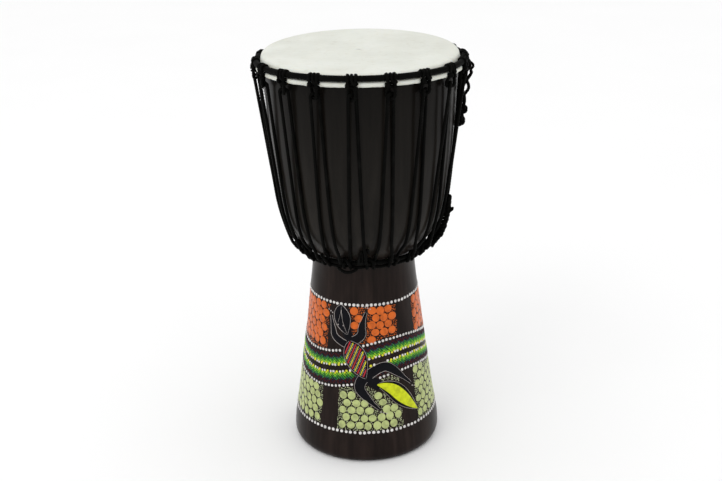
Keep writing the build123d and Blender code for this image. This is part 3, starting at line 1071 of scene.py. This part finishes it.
def paint_figure():
    """Black limbs and head with thin pale outlines, striped body, leaf tail."""
    for limb in LIMBS:
        paint_limb(*limb)
    for points, half_width in ((NECK, NECK_HALF), (HIPS, HIPS_HALF)):
        strip("black", curve_through(points, LINE_SAMPLES), np.full(LINE_SAMPLES, half_width), 0.5, 7)
    spine, widths = leaf("black", HEAD, HEAD_WIDTH, 0.6)
    leaf_edges("outline", spine, widths, 0.6, 0.75)
    fine_line([(-24.5, 240.0), (-24.8, 222.0), (-18.0, 201.0)], 0.5)
    for side in (-1, 1):
        fine_line([(-25.0 + side * 2.6, 216.0), (-24.5 + side * 1.04, 226.0), (-24.4, 236.0)], 0.45)
        eye = (EYE_PLACE[0] + side * EYE_SIDE, EYE_PLACE[1])
        dot("outline", *eye, 1.4, 1.3, 12)
        dot("black", *eye, 0.7, 1.7, 10)
    paint_body()
    spine, widths = leaf("black", TAIL_LEAF, TAIL_WIDTH, 0.55)
    leaf("lime_yellow", TAIL_LEAF, TAIL_WIDTH - 2 * TAIL_BORDER, 0.95)
    leaf_edges("outline", spine, widths, 0.5, 0.66)


STRIPE_PITCH = 9.4
STRIPE_SLOPE = 68.0
STRIPE_REACH = 4             # stripes on each side of the middle one
STRIPE_CENTRE = (-8.6, 162.0)
BODY_LEVEL = 160.0           # the body is laid out flat with the shell's radius at this height
DOT_ROWS = (-0.29, 0.29)     # rows of dots beside each red stripe, in stripe pitches
DOT_STEP = 2.4


def paint_body():
    """Leaf-shaped body with slanting red and yellow stripes and rows of pale dots."""
    spine = curve_through(BODY, BODY_SAMPLES)
    widths = leaf_widths(BODY_WIDTH, BODY_BLUNT, BODY_SAMPLES)
    strip("black", spine, widths, 0.5, 9)
    radius = float(np.interp(BODY_LEVEL, LEVELS, OUTER))
    centre = np.array([math.radians(STRIPE_CENTRE[0]) * radius, STRIPE_CENTRE[1]])
    flat_spine = np.stack([np.radians(spine[:, 0]) * radius, spine[:, 1]], 1)
    slope = math.radians(STRIPE_SLOPE)
    along = np.array([math.cos(slope), math.sin(slope)])
    across = np.array([math.sin(slope), -math.cos(slope)])

    def inside_run(shift, margin):
        """Both ends of the stretch of a slanting line that lies inside the body, if there is one."""
        steps = np.linspace(-45, 45, 181)
        points = centre + across * shift + along * steps[:, None]
        gaps = np.linalg.norm(points[:, None, :] - flat_spine[None, :, :], axis=2)
        nearest = gaps.argmin(1)
        inside = gaps.min(1) < widths[nearest] - margin
        return (points[inside][0], points[inside][-1]) if inside.sum() >= 8 else None

    def to_shell(point):
        return math.degrees(point[0] / radius), point[1]

    for index in range(-STRIPE_REACH, STRIPE_REACH + 1):
        for share, color, width in ((0.0, "red", 3.0), (0.5, "yellow", 1.9)):
            run = inside_run(index * STRIPE_PITCH + STRIPE_PITCH * share, 1.6)
            if run is None:
                continue
            points = [to_shell(run[0]), to_shell((run[0] + run[1]) / 2), to_shell(run[1])]
            strip(color, curve_through(points, 24), np.full(24, width / 2), 1.0, 5, 0.15)
        for share in DOT_ROWS:
            run = inside_run((index + share) * STRIPE_PITCH, 1.8)
            if run is None:
                continue
            length = float(np.linalg.norm(run[1] - run[0]))
            for step in range(int(length / DOT_STEP)):
                point = run[0] + (run[1] - run[0]) * (step + 0.5) * DOT_STEP / length
                dot("white", *to_shell(point), 0.6, 1.35, 8)
    leaf_edges("outline", spine, widths, 0.6, 1.0)
    leaf_edges("black", spine, widths - 1.4, 1.6, 1.15)


def make_paint():
    """One piece for each colour of paint."""
    paint_rings()
    paint_wave()
    paint_patches()
    paint_figure()
    for color, parts in paint_parts.items():
        mesh_object(f"paint_{color}", joined(parts), [PAINTS[color]])


make_paint()

# ---------- skin
DRUM_HEIGHT = 600.0
SKIN_THICKNESS = 1.0
SHOULDER_RADIUS = 7.2
SHOULDER_START = 131.6
FLESH_RING_RADIUS = 142.3
FLESH_RING_HEIGHT = 585.8
SKIN_ROLL_RADIUS = 3.4
SKIN_LIP_ANGLE = 55.0
SKIN_SEGMENTS = 480
SKIN_STILL = 597.0           # above this height the skin doesn't follow the ring's tilt
STILL_FADE = 8.0             # height over which it comes to follow it
GATHER_DEPTH = 0.26
GATHER_FADE = (6.0, 14.0)    # past the shoulder's start: where the puckers begin, and how long they grow
SAG_DEPTH = 0.10             # dips in the head, deepest at the next radius
SAG_MIDDLE = 70.0


def skin_centre_line():
    """Centre line of the skin: flat, over the shoulder, and round the flesh ring."""
    half = SKIN_THICKNESS / 2
    flat = [(radius, DRUM_HEIGHT - half) for radius in (0.5, 8, 20, 40, 60, 80, 100, 115, 125)]
    shoulder_height = DRUM_HEIGHT - half - SHOULDER_RADIUS
    shoulder = []
    for step in range(13):
        angle = math.pi / 2 * (1 - step / 12)
        shoulder.append((SHOULDER_START + SHOULDER_RADIUS * math.cos(angle),
                         shoulder_height + SHOULDER_RADIUS * math.sin(angle)))
    roll = []
    for step in range(25):
        angle = math.pi + (math.pi + math.radians(SKIN_LIP_ANGLE)) * step / 24
        roll.append((FLESH_RING_RADIUS + SKIN_ROLL_RADIUS * math.cos(angle),
                     FLESH_RING_HEIGHT + SKIN_ROLL_RADIUS * math.sin(angle)))
    return np.array(flat + shoulder + roll)


def gathers(angles, strength):
    """Puckers of the skin where it is drawn in round the ring, in millimetres."""
    ripple = np.sin(118 * angles + 1.6 * np.sin(9 * angles) + 0.9 * np.sin(23 * angles))
    swell = 0.6 + 0.4 * np.sin(18 * angles + 0.5)
    slack = 0.5 * np.sin(41 * angles + 2.0 * np.sin(5 * angles))
    return strength * (ripple * swell + slack)


def make_skin():
    """Skin with puckers at the rim, drawn down with the ring where that sits lower."""
    centre = skin_centre_line()
    tangents = unit_tangents(centre)
    outwards = np.stack([-tangents[:, 1], tangents[:, 0]], 1)
    half = SKIN_THICKNESS / 2
    upper = centre + outwards * half
    lower = centre - outwards * half
    profile = np.vstack([upper, lower[::-1]])
    along = distances(centre)
    onset = np.clip((along - SHOULDER_START - GATHER_FADE[0]) / GATHER_FADE[1], 0, 1)
    strength = np.r_[onset, onset[::-1]] * GATHER_DEPTH
    direction = np.vstack([outwards, outwards[::-1]])

    def offset(radius, height, angles):
        ripple = gathers(angles[None, :], strength[:, None])
        inwards = np.clip(1 - np.abs(radius - SAG_MIDDLE) / SAG_MIDDLE, 0, 1)
        sag = SAG_DEPTH * np.sin(5 * angles[None, :] + 1) * inwards
        top = height > DRUM_HEIGHT - 2
        return ripple * direction[:, :1], ripple * direction[:, 1:] - np.abs(sag) * top

    vertices, (rows, columns) = lathe(profile, SKIN_SEGMENTS, offset)
    moved = settled(vertices, 0.0, 1.0) - vertices
    vertices += moved * np.clip((SKIN_STILL - vertices[:, 2:]) / STILL_FADE, 0, 1)
    faces = [face[::-1] for face in grid_faces(rows, columns, wrap_rows=True)]
    skin = mesh_object("goat_skin_head", (vertices, faces), [SKIN])
    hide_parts("drumhead")


make_skin()

# ---------- rings
CROWN_RING_RADIUS = 145.2
CROWN_RING_HEIGHT = 594.4
CROWN_WRAP_RADIUS = 4.2
FLESH_ROD_RADIUS = 2.8
BASE_RING_RADIUS = 89.6
BASE_RING_HEIGHT = 314.0
BASE_ROD_RADIUS = 3.2
WINDING_RELIEF = 0.18
WINDING_PITCH = 3.4


def winding_relief(along, around, _phase):
    """Close turns of cord over a steel ring."""
    return WINDING_RELIEF * np.cos(2 * math.pi * along / WINDING_PITCH + around)


def ring_line(radius, height, step=0.8):
    """Points of a level circle at about even steps."""
    count = int(2 * math.pi * radius / step)
    return np.array([place(index * 360 / count, radius, height) for index in range(count)])


def make_ring(name, node, radius, height, rod_radius):
    """Steel ring wound with cord."""
    shape = tube(ring_line(radius, height), rod_radius, 18, winding_relief, closed=True)
    piece = mesh_object(name, tilted(shape), [ROPE])
    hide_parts(node)


def make_flesh_ring():
    """Steel rod inside the fold of the skin, a little pitted."""
    def pitted(along, around, _phase):
        return 0.05 * np.sin(along * 0.9) * np.cos(around * 3 + along * 0.2)

    line = ring_line(FLESH_RING_RADIUS, FLESH_RING_HEIGHT, 3.0)
    shape = tube(line, FLESH_ROD_RADIUS - 0.1, 14, pitted, closed=True)
    piece = mesh_object("flesh_ring_steel", tilted(shape), [METAL])
    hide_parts("flesh_ring")


make_ring("crown_ring_wrapped", "crown_ring", CROWN_RING_RADIUS, CROWN_RING_HEIGHT, CROWN_WRAP_RADIUS)
make_ring("base_ring_wrapped", "base_ring", BASE_RING_RADIUS, BASE_RING_HEIGHT, BASE_ROD_RADIUS)
make_flesh_ring()

# ---------- loops and lacing
LINK_TILT = math.radians(34.0)       # turn of each bight out of the drum's surface
SMALL_BEND = 5.75            # half width of both bights at the top
WIDE_BEND = 8.5              # half width of the lacing's bight at the bottom
ROPE_LEAN = math.radians(30.6)       # outward lean of the ropes at the bottom ring
CROWN_LINK_RADIUS = 146.2
CROWN_BIGHT_HEIGHT = 573.0
CROWN_LINK_OVERLAP = 6.5
BASE_BIGHT_REACH = 9.0
BASE_BIGHT_BEND = 5.5
BASE_LINK_OVERLAP = 6.5
LEG_ROUTE = [
    # azimuth from the top loop, radius, height
    (4.6, 114.0, 346.0),
    (4.1, 122.3, 376.0),
    (3.6, 127.6, 412.0),
]
HITCH_HALF_WIDTH = 5.3
HITCH_TURN = [
    # outwards, up and sideways: a turn of the rope across its own two legs
    (1.0, 0.2, 2.0),
    (0.0, 0.0, HITCH_HALF_WIDTH + 0.8),
    (-4.0, -1.0, HITCH_HALF_WIDTH + 2.0),
    (-4.4, -2.0, 0.0),
    (-4.0, -2.4, -HITCH_HALF_WIDTH - 2.0),
    (0.0, -2.6, -HITCH_HALF_WIDTH - 0.8),
]
LEG_SWAY = 0.45              # in degrees
HITCH_TURN_DROP = 4.2        # from one cross turn to the next
BAND_ROPE_RADIUS = 2.2
CROWN_TURN = 4.2             # centre of the tight rope from the ring's centre
BASE_TURN = BASE_ROD_RADIUS + ROPE_RADIUS + 0.12
sway = random.Random(7)      # unevenness of the ropes


def lean_point(azimuth, reach, proud, side):
    """Point by the bottom ring: reach up the ropes' slope, proud of it, and sideways."""
    out = BASE_TURN + proud
    radius = BASE_RING_RADIUS + out * math.cos(ROPE_LEAN) + reach * math.sin(ROPE_LEAN)
    height = BASE_RING_HEIGHT - out * math.sin(ROPE_LEAN) + reach * math.cos(ROPE_LEAN)
    return place(azimuth, radius, height, side)


def over_ring(side):
    """Rope laid over the top ring, from behind it to its outside, at a distance to the side."""
    outside = CROWN_RING_RADIUS + CROWN_TURN
    over = CROWN_RING_HEIGHT + CROWN_TURN
    tuck = CROWN_RING_RADIUS - CROWN_TURN
    return [
        place(0, tuck, CROWN_RING_HEIGHT - 1.5, side),
        place(0, tuck, over - 0.9, side),
        place(0, CROWN_RING_RADIUS, over + 0.7, side),
        place(0, outside + 0.3, over - 0.9, side),
        place(0, outside + 0.1, CROWN_RING_HEIGHT - 2.0, side),
    ]


def crown_loop_points():
    """Loop on the top ring: over it, down through the lacing's bight and up again."""
    side = SMALL_BEND * math.cos(LINK_TILT)
    lean = SMALL_BEND * math.sin(LINK_TILT)
    bottom = CROWN_BIGHT_HEIGHT - SMALL_BEND
    left = over_ring(-HITCH_HALF_WIDTH) + [
        place(0, FLESH_RING_RADIUS + 6.9, FLESH_RING_HEIGHT - 1.0, -side),
        place(0, CROWN_LINK_RADIUS - lean, CROWN_BIGHT_HEIGHT + 3.0, -side),
        place(0, CROWN_LINK_RADIUS - lean, bottom, -side),
    ]
    right = [
        place(0, CROWN_LINK_RADIUS + lean, bottom, side),
        place(0, CROWN_LINK_RADIUS + lean, CROWN_BIGHT_HEIGHT + 6.0, side),
        place(0, FLESH_RING_RADIUS + 7.4, FLESH_RING_HEIGHT + 1.0, side),
    ] + over_ring(HITCH_HALF_WIDTH)[::-1]
    return left + right


def hitch_band_points():
    """Rope over the ring between the loop's legs, then two turns across them."""
    outside = FLESH_RING_RADIUS + 8.4
    height = FLESH_RING_HEIGHT + 1.0
    points = over_ring(0)
    for turn in range(2):
        rise = 1.9 - HITCH_TURN_DROP * turn
        swing = 1 - 2 * turn
        for out, up, sideways in HITCH_TURN:
            points.append(place(0, outside + out, height + rise + up, swing * sideways))
    points.append(place(0, outside + 1.0, height - 4.4, 2.0))
    return points


def base_loop_points():
    """Loop on the bottom ring: round it from behind, with a bight up the ropes' slope."""
    side = BASE_BIGHT_BEND * math.cos(LINK_TILT)
    lean = BASE_BIGHT_BEND * math.sin(LINK_TILT)
    halves = []
    for sign in (-1, 1):
        reach_and_proud = [
            (-BASE_TURN, -1.15 * BASE_TURN),
            (-BASE_TURN - 0.6, -0.5 * BASE_TURN),
            (-BASE_TURN + 0.4, 0.2),
            (0.0, 0.4),
            (2.5, 0.0),
            (BASE_BIGHT_REACH - 0.8, sign * lean),
            (BASE_BIGHT_REACH + BASE_BIGHT_BEND, sign * lean),
        ]
        halves.append([lean_point(0, reach, proud, sign * side) for reach, proud in reach_and_proud])
    return halves[0] + halves[1][::-1]


def leg_points(sign, shift):
    """Control points of one lacing leg, on the side given by sign, from bottom link to top link."""
    wide_side = WIDE_BEND * math.cos(LINK_TILT)
    wide_lean = WIDE_BEND * math.sin(LINK_TILT)
    side = SMALL_BEND * math.cos(LINK_TILT)
    lean = SMALL_BEND * math.sin(LINK_TILT)
    low = BASE_BIGHT_REACH + BASE_BIGHT_BEND - BASE_LINK_OVERLAP
    apex = CROWN_BIGHT_HEIGHT - SMALL_BEND + CROWN_LINK_OVERLAP
    base_azimuth = sign * HITCH_PITCH / 2
    points = [
        lean_point(base_azimuth, low, 0, 0),
        lean_point(base_azimuth, low, sign * wide_lean, -sign * wide_side),
        lean_point(base_azimuth, low + 16.0, sign * wide_lean * 0.5, -sign * wide_side),
    ]
    for azimuth, radius, height in LEG_ROUTE:
        points.append(place(sign * azimuth + shift, radius, height))
    top = place(0, CROWN_LINK_RADIUS - sign * lean, apex, sign * side)
    lower = points[-1]
    points.append(top + (lower - top) * 0.32)
    points.append(top + (lower - top) * 0.06)
    points.append(top)
    return points


def base_run_points(azimuth):
    """Rope that runs behind the bottom ring from one loop to the next."""
    points = []
    for share in (0.0, 0.2, 0.5, 0.8, 1.0):
        bow = math.sin(math.pi * share)
        points.append(place(azimuth + HITCH_PITCH * share, BASE_RING_RADIUS + 1.6 * bow - 1.0,
                            BASE_RING_HEIGHT - 5.2 - 0.9 * bow + sway.uniform(-0.5, 0.5)))
    return points


def make_ropes():
    """The hitched loops on both rings and the rope laced through them."""
    crown_points = crown_loop_points()
    band_points = hitch_band_points()
    base_points = base_loop_points()
    base_parts = []
    for index in range(HITCH_COUNT):
        azimuth = FIRST_HITCH + index * HITCH_PITCH
        number = f"{index + 1:02d}"
        phase = sway.uniform(0, 6)
        loop = rope_object(f"crown_loop_braid_{number}", tilted(joined([
            rope_shape(turned(crown_points, azimuth), phase),
            rope_shape(turned(band_points, azimuth), phase, BAND_ROPE_RADIUS),
        ])))
        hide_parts(f"crown_loop_{number}")
        left = leg_points(-1, sway.uniform(-LEG_SWAY, LEG_SWAY))
        right = leg_points(1, sway.uniform(-LEG_SWAY, LEG_SWAY))
        shape = rope_shape(turned(left + right[::-1], azimuth), phase + 2)
        lacing = rope_object(f"lacing_braid_{number}", tilted(shape))
        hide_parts(f"lacing_{number}")
        base_azimuth = azimuth + HITCH_PITCH / 2
        base_parts.append(rope_shape(turned(base_points, base_azimuth), phase))
        base_parts.append(rope_shape(base_run_points(base_azimuth), phase + 1))
    loops = rope_object("base_loops_braid", joined(base_parts))
    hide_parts("base_loops")


make_ropes()

# ---------- becket, wrap and front end
WRAP_AZIMUTH = FIRST_HITCH + 4 * HITCH_PITCH
BECKET_TILT = (581.0, 592.0)     # heights between which the becket comes to follow the ring's tilt
WRAP_ROUTE = [(100.5, 313.0), (110.0, 326.0), (119.5, 343.5), (125.8, 365.0), (129.2, 394.0)]
WRAP_END = [(126.5, 368.0), (129.5, 369.5), (132.0, 371.5), (133.8, 375.5)]
WRAP_CORE_RADIUS = 3.1
WRAP_THINNING = ([0, 0.55, 0.8, 1], [1, 1, 0.55, 0.25])
WRAP_TURN = 12.5             # length of one turn of a coil
WRAP_SWELL = 19.0            # distance between the lumps of a coil
WRAP_COILS = [
    # start angle, reach outwards, reach sideways
    (0.0, 3.1, 5.0),
    (math.pi, 2.6, 4.4),
]
FRONT_FOOT = (-2.8, 98.0, 314.5)     # azimuth, radius, height, like the next two
FRONT_TIP = (-1.6, 110.5, 341.5)
FRONT_KNOT = [(3.6, 108.5, 336.0), (3.2, 110.5, 340.5), (2.6, 111.6, 345.0)]
FRONT_SPREADS = [(0.0, 2.1), (0.4, 2.5), (0.75, 1.6), (1.0, 0.3)]   # share of the height, half width
WHIPPING_TURNS = 4
WHIPPING_SAMPLES = 96
WHIPPING_RADIUS = 0.8


def make_becket():
    """Short loop over the top ring, whose rung the tail hangs from."""
    outside = CROWN_RING_RADIUS + CROWN_TURN
    over = CROWN_RING_HEIGHT + CROWN_TURN
    route = [
        # radius, height, share of the half width
        (CROWN_RING_RADIUS - 0.45 * CROWN_TURN, over - 0.4, 1.0),
        (CROWN_RING_RADIUS + 1.2, over + 0.6, 1.0),
        (outside + 0.4, over - 0.8, 1.0),
        (outside, CROWN_RING_HEIGHT - 3.0, 1.0),
        (BECKET_RADIUS, BECKET_HEIGHT + 4.0, 1.0),
        (BECKET_RADIUS, BECKET_HEIGHT, 1.0),
        (BECKET_RADIUS, BECKET_HEIGHT, 0.45),
    ]
    left, right = [
        [place(TAIL_AZIMUTH, radius, height, side * share) for radius, height, share in route]
        for side in (-BECKET_HALF_WIDTH, BECKET_HALF_WIDTH)
    ]
    becket = rope_object("becket_braid", tilted(rope_shape(left + right[::-1]), *BECKET_TILT))
    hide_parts("tail_becket")


def make_wrap():
    """Surplus rope knotted up the outside of one pair of ropes."""
    route = smooth_route([place(WRAP_AZIMUTH, radius, height) for radius, height in WRAP_ROUTE])
    route = spaced(route, BRAID_STEP)
    normals, sideways = carried_frames(route, place(WRAP_AZIMUTH, 1, 0))
    along = distances(route)
    thin = np.interp(along / along[-1], *WRAP_THINNING)
    parts = [tube(route, WRAP_CORE_RADIUS)]
    for start, reach_out, reach_across in WRAP_COILS:
        angle = 2 * math.pi * along / WRAP_TURN + start
        swell = thin * (1 + 0.28 * np.sin(2 * math.pi * along / WRAP_SWELL + start))
        out = (reach_out * swell * np.cos(angle))[:, None]
        across = (reach_across * swell * np.sin(angle))[:, None]
        coil = route + normals * out + sideways * across
        parts.append(tube(spaced(coil, BRAID_STEP), ROPE_RADIUS, phase=start))
    wrap = rope_object("wrap_braid", joined(parts))
    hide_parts("tail_wrap")
    end_points = [place(WRAP_AZIMUTH, radius, height) for radius, height in WRAP_END]
    end = rope_object("wrap_end_braid", rope_shape(end_points))
    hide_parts("wrap_end")


def make_front_end():
    """Doubled rope end, drawn to a point, with a whipping round it, and a second short end."""
    foot = place(*FRONT_FOOT)
    tip = place(*FRONT_TIP)
    out = place(FRONT_FOOT[0], 1, 0)
    across = place(FRONT_FOOT[0], 0, 0, 1)
    parts = []
    for side in (-1, 1):
        points = [foot * (1 - share) + tip * share + across * spread * side
                  for share, spread in FRONT_SPREADS]
        parts.append(rope_shape(points, taper=lambda share: 1 - 0.55 * share ** 2))
    whipping = []
    for step in range(WHIPPING_SAMPLES):
        share = step / (WHIPPING_SAMPLES - 1)
        angle = 2 * math.pi * WHIPPING_TURNS * share
        middle = foot + (tip - foot) * (0.1 + 0.14 * share)
        whipping.append(middle + out * 2.6 * math.cos(angle) + across * 4.7 * math.sin(angle))
    parts.append(tube(spaced(np.array(whipping), 0.8), WHIPPING_RADIUS, 8, None))
    parts.append(rope_shape([place(*point) for point in FRONT_KNOT], radius=2.0))
    end = rope_object("front_end_braid", joined(parts))
    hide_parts("front_end")


make_becket()
make_wrap()
make_front_end()
